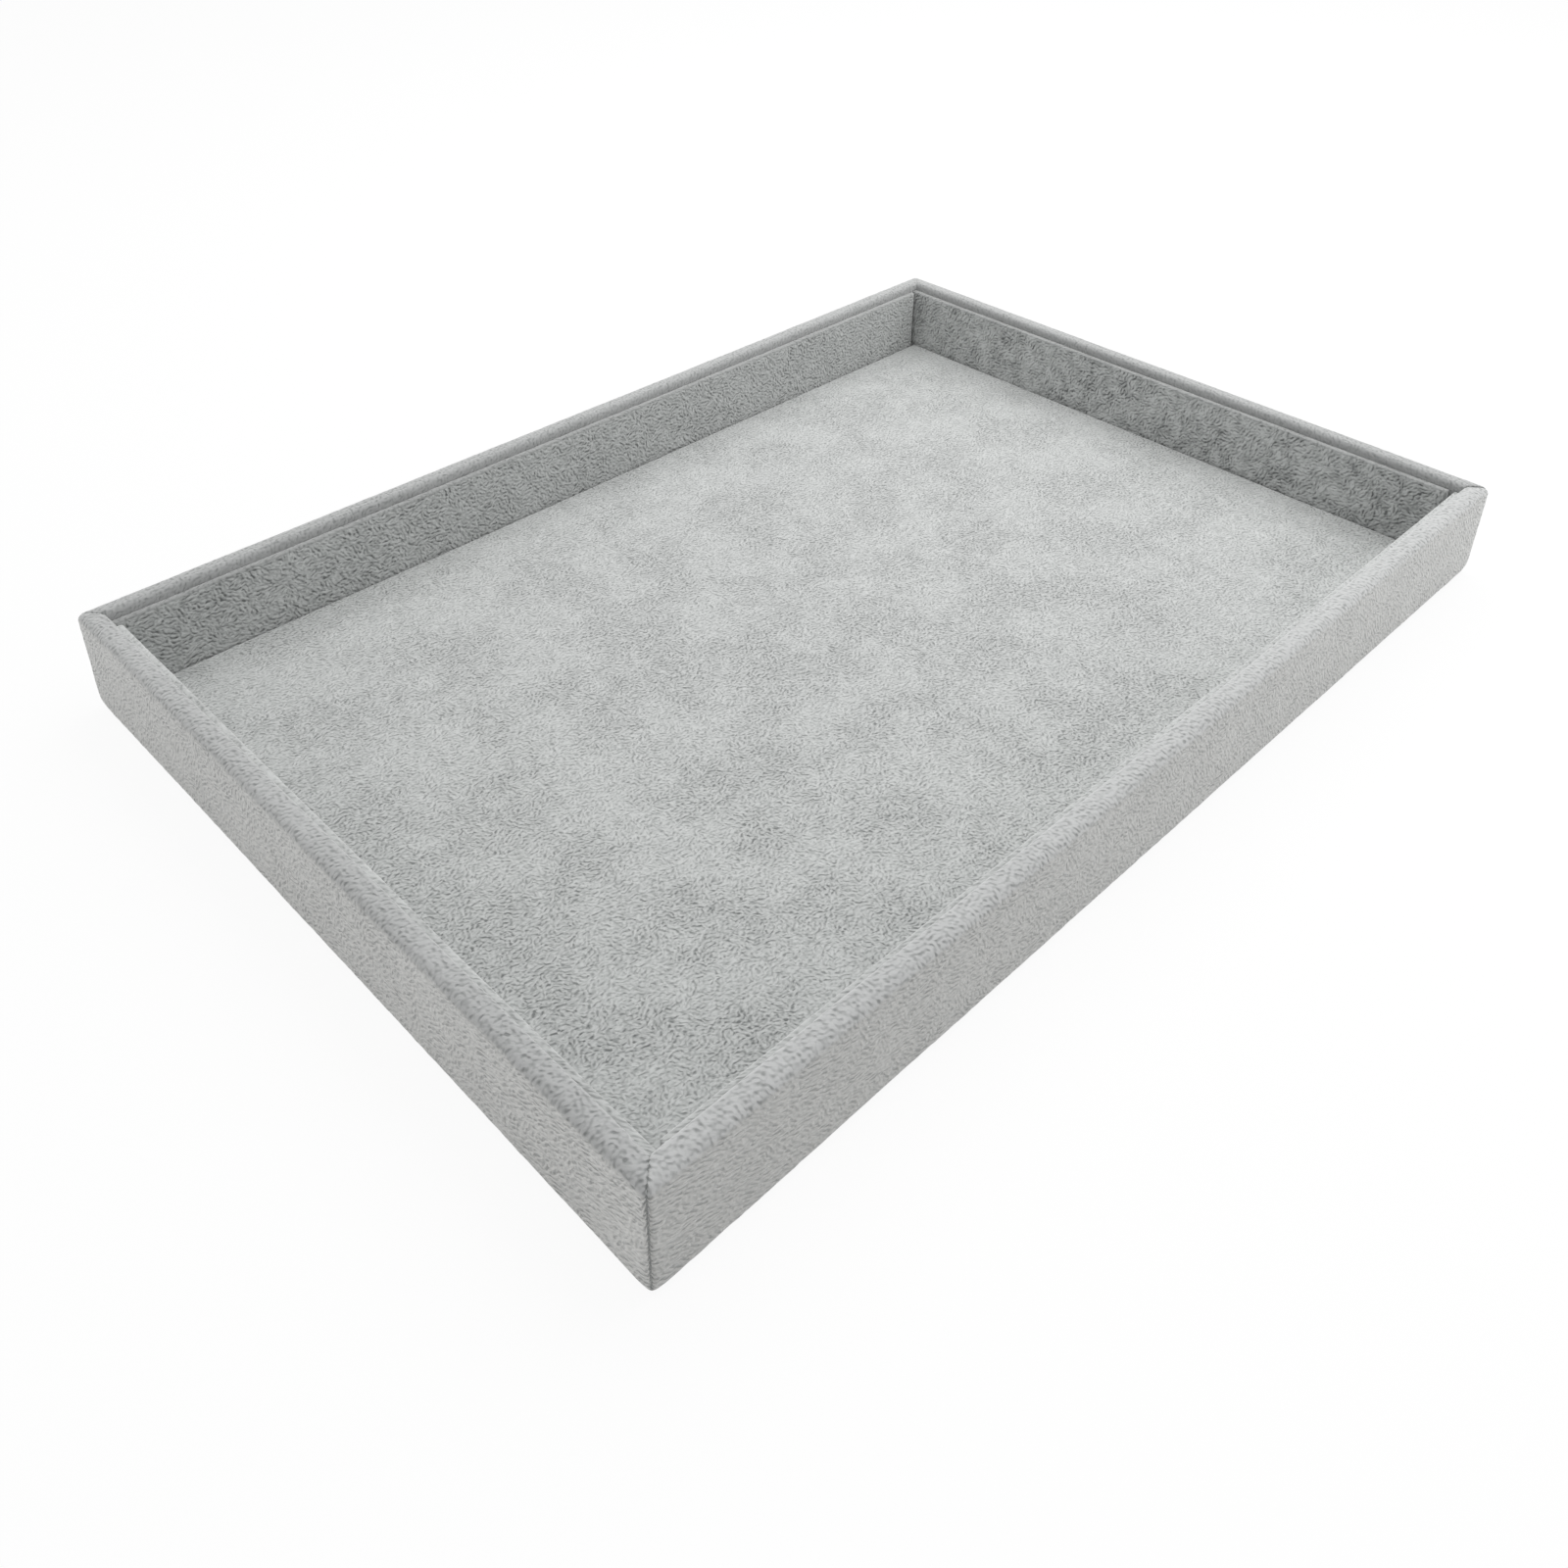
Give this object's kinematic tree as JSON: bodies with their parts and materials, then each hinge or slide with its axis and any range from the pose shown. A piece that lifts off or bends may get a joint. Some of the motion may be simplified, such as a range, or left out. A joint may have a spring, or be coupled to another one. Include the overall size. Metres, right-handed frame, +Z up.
{
  "type": "jewelry tray",
  "caption": "Open rectangular jewelry tray covered in short-pile grey velvet, with mitred wrapped walls, lining panels and a loose floor pad.",
  "frame": {"origin": "centre of the underside, on the surface the tray stands on", "axes": "+X along the tray's length, +Y across it towards the rear long wall, +Z up"},
  "size_m": [0.35, 0.24, 0.032],
  "materials": {
    "velvet": "matte",
    "fibreboard": "matte",
    "greyboard": "matte",
    "foam": "matte",
    "underside_felt": "matte",
    "steel": "satin"
  },
  "bodies": {
    "tray": {"front_wall_cover": "velvet", "front_wall_core": "fibreboard", "front_liner_cover": "velvet", "front_liner_board": "greyboard", "rear_wall_cover": "velvet", "rear_wall_core": "fibreboard", "rear_liner_cover": "velvet", "rear_liner_board": "greyboard", "left_wall_cover": "velvet", "left_wall_core": "fibreboard", "left_liner_cover": "velvet", "left_liner_board": "greyboard", "right_wall_cover": "velvet", "right_wall_core": "fibreboard", "right_liner_cover": "velvet", "right_liner_board": "greyboard", "base_board": "fibreboard", "bottom_sheet": "underside_felt", "corner_brads": "steel", "base_brads": "steel"},
    "floor_pad": {"pad_cover": "velvet", "pad_foam": "foam", "pad_board": "greyboard"}
  },
  "joints": [
    {"name": "pad_lift", "type": "slide", "parent": "tray", "child": "floor_pad", "axis": [0, 0, 1], "range_m": [0, 0.045]}
  ]
}
